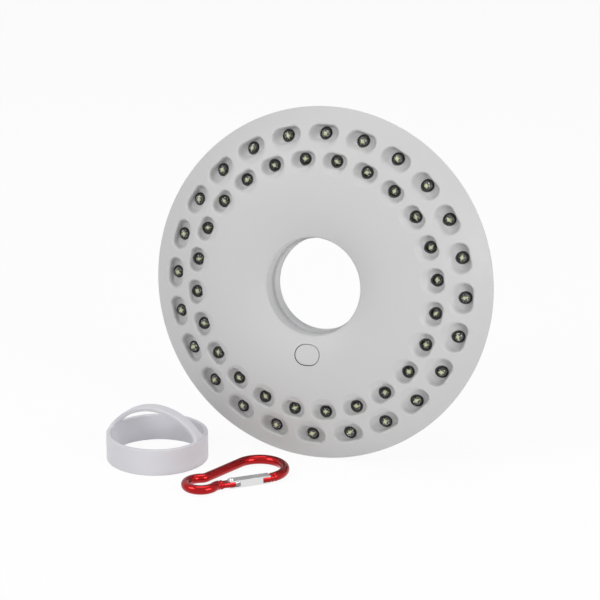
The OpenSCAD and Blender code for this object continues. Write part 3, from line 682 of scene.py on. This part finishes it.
def make_moulded_group():
    """Moulded plastic: fine spark-eroded grain, slow tone drift, and a mask of handled spots."""
    tree, start, end = group(
        "moulded_plastic_grain",
        [("Vector", VECTOR, None), ("Grain", FLOAT, 2400.0), ("Drift", FLOAT, 22.0)],
        [("Grain Height", FLOAT), ("Tone", FLOAT), ("Handling", FLOAT)],
    )
    vector, drift = start.outputs["Vector"], start.outputs["Drift"]
    fine = noise(tree, vector, start.outputs["Grain"], 3.0, 0.6)
    slow = noise(tree, vector, drift, 3.0, 0.55)
    rubbed = noise(tree, vector, maths(tree, "MULTIPLY", drift, 6.0), 4.0, 0.65)
    tree.links.new(fine, end.inputs["Grain Height"])
    tree.links.new(slow, end.inputs["Tone"])
    tree.links.new(ramp(tree, rubbed, 0.42, 0.7), end.inputs["Handling"])
    return tree


def make_metal_group():
    """Drawn or brushed metal: noise stretched along one axis, and small pits."""
    tree, start, end = group(
        "drawn_metal",
        [("Vector", VECTOR, None), ("Fineness", FLOAT, 900.0)],
        [("Streak", FLOAT), ("Pits", FLOAT)],
    )
    vector, fineness = start.outputs["Vector"], start.outputs["Fineness"]
    tree.links.new(noise(tree, vector, fineness, 4.0, 0.6), end.inputs["Streak"])
    pits = noise(tree, vector, maths(tree, "MULTIPLY", fineness, 1.7), 2.0)
    tree.links.new(ramp(tree, pits, 0.62, 0.75), end.inputs["Pits"])
    return tree


def make_phosphor_group():
    """Yellow square under the lens, smeared by it into a four-armed star, with loose painted
    glints.

    star = (|u|/a)^0.8 + (|v|/b)^0.8 + wobble, with a and b drawn out by the seed; the painted
    glints lie in a ring near the edge, and the swirl of painted shade is noise read along the
    circle, so it makes short arcs.
    """
    tree, start, end = group(
        "phosphor_star",
        [("Pattern", VECTOR, None), ("Seed", FLOAT, 0.0)],
        [("Star", FLOAT), ("Core", FLOAT), ("Glint", FLOAT), ("Swirl", FLOAT)],
    )
    pattern = start.outputs["Pattern"]
    split = tree.nodes.new("ShaderNodeSeparateXYZ")
    tree.links.new(pattern, split.inputs[0])
    seed = maths(tree, "MULTIPLY", start.outputs["Seed"], 37.0)
    wobble = maths(tree, "SUBTRACT", noise(tree, pattern, 0.9, 2.0, 0.6, seed), 0.5)
    stretch = ramp(tree, start.outputs["Seed"], 0.0, 1.0, 0.85, 1.35)
    long_arm = maths(tree, "MULTIPLY", stretch, 1.9)
    short_arm = maths(tree, "DIVIDE", 1.45, stretch)
    u = maths(tree, "DIVIDE", maths(tree, "ABSOLUTE", split.outputs[0]), long_arm)
    v = maths(tree, "DIVIDE", maths(tree, "ABSOLUTE", split.outputs[1]), short_arm)
    arms = maths(tree, "ADD", maths(tree, "POWER", u, 0.8), maths(tree, "POWER", v, 0.8))
    arms = maths(tree, "ADD", arms, maths(tree, "MULTIPLY", wobble, 1.1))
    tree.links.new(ramp(tree, arms, 1.06, 0.9), end.inputs["Star"])
    tree.links.new(ramp(tree, arms, 0.85, 0.45), end.inputs["Core"])
    away = tree.nodes.new("ShaderNodeVectorMath")
    away.operation = "LENGTH"
    tree.links.new(pattern, away.inputs[0])
    away = away.outputs["Value"]
    # Painted glints: light flecks in a ring near the edge, standing in for reflections in the lens.
    band = maths(tree, "MULTIPLY", ramp(tree, away, 1.45, 1.7), ramp(tree, away, 2.15, 1.95))
    spots = noise(tree, pattern, 1.6, 1.0, 0.5, maths(tree, "ADD", seed, 11.0))
    painted_glint = maths(tree, "MULTIPLY", band, ramp(tree, spots, 0.58, 0.66))
    tree.links.new(painted_glint, end.inputs["Glint"])
    # Swirl of painted shade: the dark inside seen through the clear lens, in short arcs.
    around = maths(tree, "ARCTAN2", split.outputs[1], split.outputs[0])
    polar = tree.nodes.new("ShaderNodeCombineXYZ")
    tree.links.new(maths(tree, "MULTIPLY", around, 0.8), polar.inputs[0])
    tree.links.new(maths(tree, "MULTIPLY", away, 2.6), polar.inputs[1])
    arcs = noise(tree, polar.outputs[0], 1.0, 1.0, 0.5, seed)
    tree.links.new(ramp(tree, arcs, 0.35, 0.75), end.inputs["Swirl"])
    return tree


def material(name):
    """A new material with its tree, its Principled shader and object coordinates."""
    made = bpy.data.materials.new(name)
    made.use_nodes = True
    tree = made.node_tree
    shader = tree.nodes["Principled BSDF"]
    coords = tree.nodes.new("ShaderNodeTexCoord").outputs["Object"]
    return made, tree, shader, coords


def place(tree, made, **values):
    """A node group placed in a material with its own values."""
    node = tree.nodes.new("ShaderNodeGroup")
    node.node_tree = made
    for name, value in values.items():
        feed(tree, value, node.inputs[name.replace("_", " ").title()])
    return node


def stretched(tree, coords, scale):
    """Object coordinates scaled, so that noise is drawn out along one axis."""
    node = tree.nodes.new("ShaderNodeMapping")
    tree.links.new(coords, node.inputs["Vector"])
    node.inputs["Scale"].default_value = scale
    return node.outputs["Vector"]


def plastic(name, colour, shade, roughness, grain=2400.0, strength=0.05, specular=0.4):
    """Moulded plastic: its colour drifts slightly, and handled spots shine more than the grain."""
    made, tree, shader, coords = material(name)
    g = place(tree, moulded, vector=coords, grain=grain, drift=22.0)
    tone = mix(tree, g.outputs["Tone"], (*colour, 1), (*shade, 1))
    rubbed = ramp(tree, g.outputs["Handling"], 0, 1, roughness, roughness - 0.07)
    tree.links.new(tone, shader.inputs["Base Color"])
    tree.links.new(rubbed, shader.inputs["Roughness"])
    tree.links.new(bump(tree, g.outputs["Grain Height"], strength, 0.0002), shader.inputs["Normal"])
    shader.inputs["Specular IOR Level"].default_value = specular
    return made


def with_painted_shade(made, factor):
    """Paints shade into a plastic: darkens it by its piece's own seed attribute, where a pocket
    holds the light back.
    """
    tree = made.node_tree
    base = tree.nodes["Principled BSDF"].inputs["Base Color"]
    held = tree.nodes.new("ShaderNodeAttribute")
    # On the face dome the seed attribute holds the pockets' painted shade.
    held.attribute_name = "seed"
    plain = base.links[0].from_socket
    pocket_shade_amount = maths(tree, "MULTIPLY", held.outputs["Fac"], factor)
    # Painted shade: the colour is mixed towards dark grey as far as the pockets' shade reaches.
    tree.links.new(mix(tree, pocket_shade_amount, plain, (0.12, 0.12, 0.12, 1)), base)
    return made


def metal(
    name, colour, dark, roughness, scale=(1, 1, 1), fineness=900.0, coat=0.0, strength=0.08
):
    """Metal with drawn streaks in its colour and roughness, and small pits in its surface."""
    made, tree, shader, coords = material(name)
    g = place(tree, drawn, vector=stretched(tree, coords, scale), fineness=fineness)
    streak = g.outputs["Streak"]
    polish = ramp(tree, streak, 0.2, 0.8, roughness + 0.06, roughness - 0.04)
    tree.links.new(mix(tree, streak, (*dark, 1), (*colour, 1)), shader.inputs["Base Color"])
    tree.links.new(polish, shader.inputs["Roughness"])
    tree.links.new(bump(tree, g.outputs["Pits"], strength, -0.00005), shader.inputs["Normal"])
    shader.inputs["Metallic"].default_value = 1.0
    shader.inputs["Coat Weight"].default_value = coat
    shader.inputs["Coat Roughness"].default_value = 0.05
    return made


def make_lens_material():
    """LED lens: swirls of painted shade, for the dark inside seen through the clear lens, round the
    star that it makes of the phosphor, and painted glints, under a glossy dome.
    """
    made, tree, shader, coords = material("led_lens_clear")
    uv = tree.nodes.new("ShaderNodeUVMap")
    uv.uv_map = "pattern"
    seed = tree.nodes.new("ShaderNodeAttribute")
    seed.attribute_name = "seed"
    g = place(tree, phosphor, pattern=uv.outputs["UV"], seed=seed.outputs["Fac"])
    speck = noise(tree, coords, 1500.0, 2.0)
    # Painted shade: dark grey swirls for the inside seen through the clear lens.
    painted_inner_shade = mix(tree, g.outputs["Swirl"], (0.045, 0.045, 0.042, 1), (0.19, 0.19, 0.175, 1))
    core = mix(tree, g.outputs["Core"], (0.42, 0.44, 0.24, 1), (0.60, 0.62, 0.42, 1))
    core = mix(tree, ramp(tree, speck, 0.35, 0.75), core, (0.50, 0.52, 0.32, 1))
    colour = mix(tree, g.outputs["Star"], painted_inner_shade, core)
    # Painted glints: light flecks of painted reflection near the lens's edge.
    colour = mix(tree, g.outputs["Glint"], colour, (0.80, 0.82, 0.86, 1))
    tree.links.new(colour, shader.inputs["Base Color"])
    tree.links.new(ramp(tree, speck, 0.3, 0.7, 0.06, 0.11), shader.inputs["Roughness"])
    shader.inputs["IOR"].default_value = 1.45
    return made


moulded = make_moulded_group()
drawn = make_metal_group()
phosphor = make_phosphor_group()

# Two tones, roughness, then the grain's fineness and strength, and the specular level.
FACE_TONES = (0.585, 0.585, 0.585), (0.565, 0.565, 0.565)
SMALL_PART = 900.0, 0.1, 0.5
face_plastic = plastic("face_plastic_satin", *FACE_TONES, 0.5)
# Copy of the face plastic with painted shade in the pockets, darkest in the steep troughs.
pocket_plastic_painted_shade = with_painted_shade(plastic("face_plastic_painted_shade", *FACE_TONES, 0.5), 0.28)
back_plastic = plastic(
    "back_plastic_satin", (0.62, 0.62, 0.63), (0.59, 0.59, 0.60), 0.55, 1800.0, 0.09
)
ring_plastic = plastic("ring_plastic_satin", (0.68, 0.675, 0.71), (0.66, 0.655, 0.69), 0.42)
black_plastic = plastic(
    "black_plastic_matt", (0.010, 0.010, 0.010), (0.016, 0.016, 0.016), 0.7, 1800.0, 0.1, 0.2
)
# Dark grey of the LED sleeves: painted shade for the shaded gap round each lens.
well_painted_shade = plastic(
    "well_plastic_painted_shade", (0.055, 0.055, 0.052), (0.085, 0.085, 0.081), 0.6, 1800.0, 0.1, 0.2
)
board_mask = plastic(
    "solder_mask_green", (0.012, 0.085, 0.035), (0.016, 0.10, 0.042), 0.35, *SMALL_PART
)
resistor_tan = plastic(
    "resistor_lacquer", (0.55, 0.40, 0.22), (0.48, 0.34, 0.18), 0.35, *SMALL_PART
)
lead_red = plastic("lead_sleeve_red", (0.40, 0.02, 0.02), (0.34, 0.015, 0.015), 0.45, *SMALL_PART)
cell_green = plastic(
    "cell_sleeve_green", (0.02, 0.16, 0.08), (0.025, 0.19, 0.10), 0.3, 900.0, 0.03, 0.5
)
screw_zinc = metal("screw_zinc", (0.60, 0.60, 0.62), (0.44, 0.44, 0.46), 0.3)
spring_nickel = metal("spring_nickel", (0.66, 0.66, 0.66), (0.50, 0.50, 0.51), 0.22)
wire_zinc = metal(
    "wire_zinc", (0.62, 0.62, 0.64), (0.46, 0.46, 0.48), 0.26, (0.05, 1, 1), 2200.0
)
red_anodised = metal(
    "red_anodised",
    (0.43, 0.0045, 0.007),
    (0.36, 0.0035, 0.005),
    0.17,
    fineness=1500.0,
    coat=0.35,
    strength=0.05,
)
gate_sheet = metal(
    "gate_sheet_aluminium", (0.80, 0.80, 0.80), (0.66, 0.66, 0.66), 0.34, (0.12, 0.12, 1), 1600.0
)
rivet_bright = metal("rivet_bright", (0.74, 0.74, 0.74), (0.60, 0.60, 0.60), 0.2)
lens = make_lens_material()

# ---------------------------------------------------------------- pieces

inner_first = FIRST_LED + math.pi / LED_COUNT
build_pocket_zone(pocket_plastic_painted_shade)
build_mouth(face_plastic)
# The button's opening is walled in black: painted shade for the thin gap round the button.
build_button_well(black_plastic)
# The sleeves' dark grey is painted shade for the gap round each lens.
build_wells(well_painted_shade)
build_leds("outer_led_lenses", OUTER_LED_R, OUTER_TIP_Z, FIRST_LED, lens, "outer_leds")
build_leds("inner_led_lenses", INNER_LED_R, INNER_TIP_Z, inner_first, lens, "inner_leds")
build_button(face_plastic)
build_ring(ring_plastic)
build_carabiner(red_anodised)
softened("carabiner_gate", "gate_channel", 0.18, gate_sheet, "gate")
softened("gate_rivet", "rivet_heads", 0.2, rivet_bright, "gate")
for side in ("left", "right"):
    node, name, body = f"battery_door_{side}", f"door_panel_{side}", f"door_{side}"
    softened(node, name, 0.3, back_plastic, body)

for made, names in (
    (back_plastic, "rear_shell"),
    (black_plastic, "switch_plunger driver_chip"),
    (board_mask, "switch_board led_board"),
    (resistor_tan, "resistors"),
    (lead_red, "lead_wires"),
    (cell_green, "aa_cells"),
    (screw_zinc, "case_screws board_screws tact_switch led_pins"),
    (spring_nickel, "cell_springs contact_plates gate_spring"),
    (wire_zinc, "stand_wire hanging_loop"),
):
    for name in names.split():
        for held in nodes[name].material_slots:
            held.material = made

# ---------------------------------------------------------------- floor, light and camera

LIT_POINT = (0, 0, 0.09)
CAMERA_AIM = np.array([-8.04, 0, 85.54])


def build_floor():
    """Flat floor, white to the camera with the object's shadow kept in it."""
    mesh = bpy.data.meshes.new("floor")
    reach = 3
    corners = [(-reach, -reach, 0), (reach, -reach, 0), (reach, reach, 0), (-reach, reach, 0)]
    mesh.from_pydata(corners, [], [(0, 1, 2, 3)])
    floor = add_object("floor", mesh)
    made, tree, shader, _ = material("floor_paper")
    shader.inputs["Base Color"].default_value = (0.98, 0.98, 0.98, 1)
    shader.inputs["Roughness"].default_value = 0.9
    shader.inputs["Specular IOR Level"].default_value = 0.0
    glow = tree.nodes.new("ShaderNodeEmission")
    glow.inputs["Strength"].default_value = 1.0
    path = tree.nodes.new("ShaderNodeLightPath")
    seen = maths(tree, "MAXIMUM", path.outputs["Is Camera Ray"], path.outputs["Is Glossy Ray"])
    seen = maths(tree, "MAXIMUM", seen, path.outputs["Is Transmission Ray"])
    blend = tree.nodes.new("ShaderNodeMixShader")
    tree.links.new(maths(tree, "MULTIPLY", seen, 0.92), blend.inputs[0])
    tree.links.new(shader.outputs[0], blend.inputs[1])
    tree.links.new(glow.outputs[0], blend.inputs[2])
    tree.links.new(blend.outputs[0], tree.nodes["Material Output"].inputs["Surface"])
    mesh.materials.append(made)


def build_world(level):
    """White to the camera and in reflections, and a plain level for everything else."""
    world = bpy.data.worlds.new("studio")
    bpy.context.scene.world = world
    world.use_nodes = True
    tree = world.node_tree
    back = tree.nodes["Background"]
    back.inputs["Color"].default_value = (1, 1, 1, 1)
    path = tree.nodes.new("ShaderNodeLightPath").outputs
    seen = maths(tree, "MAXIMUM", path["Is Camera Ray"], path["Is Transmission Ray"])
    gloss = maths(tree, "MULTIPLY", path["Is Glossy Ray"], 0.8)
    seen = maths(tree, "MAXIMUM", seen, gloss)
    tree.links.new(ramp(tree, seen, 0, 1, level, 1.0), back.inputs["Strength"])


def area_light(name, place_at, size, watts):
    """Square softbox at a place, turned to face the middle of the set."""
    light = bpy.data.lights.new(name, "AREA")
    light.size, light.energy = size, watts
    lamp = add_object(name, light)
    lamp.location = place_at
    towards = np.array(LIT_POINT) - np.array(place_at)
    lamp.rotation_mode = "QUATERNION"
    lamp.rotation_quaternion = Vector(towards).to_track_quat("-Z", "Y")


def build_camera():
    """The photograph's camera: 4.5 frame widths of focal length, 1.4 m away, right and above.

    It aims at a point given from where the disc's rim stands on the floor.
    """
    turn, rise, away = math.radians(19.66), math.radians(18.7), 1.40205
    flat = math.cos(rise)
    back = Vector((math.sin(turn) * flat, -math.cos(turn) * flat, math.sin(rise)))
    right = Vector((math.cos(turn), math.sin(turn), 0))
    up = back.cross(right)
    contact = DISC_C - DISC_R * FACE_UP
    aim = Vector((contact + CAMERA_AIM) / 1000)
    camera = add_object("camera", bpy.data.cameras.new("camera"))
    facing = Matrix((right, up, back)).transposed().to_4x4()
    camera.matrix_world = Matrix.Translation(aim + back * away) @ facing
    camera.data.sensor_width = 36
    camera.data.lens = 162
    camera.data.clip_start, camera.data.clip_end = 0.05, 20
    bpy.context.scene.camera = camera


build_floor()
build_world(0.34)
area_light("key_left", (-0.85, -0.9, 0.95), 0.7, 8.5)
area_light("fill_right", (1.1, -0.55, 0.45), 0.6, 6.6)
area_light("top", (0.0, 0.1, 1.3), 0.8, 3.7)
build_camera()
bpy.context.scene.view_settings.view_transform = "Standard"
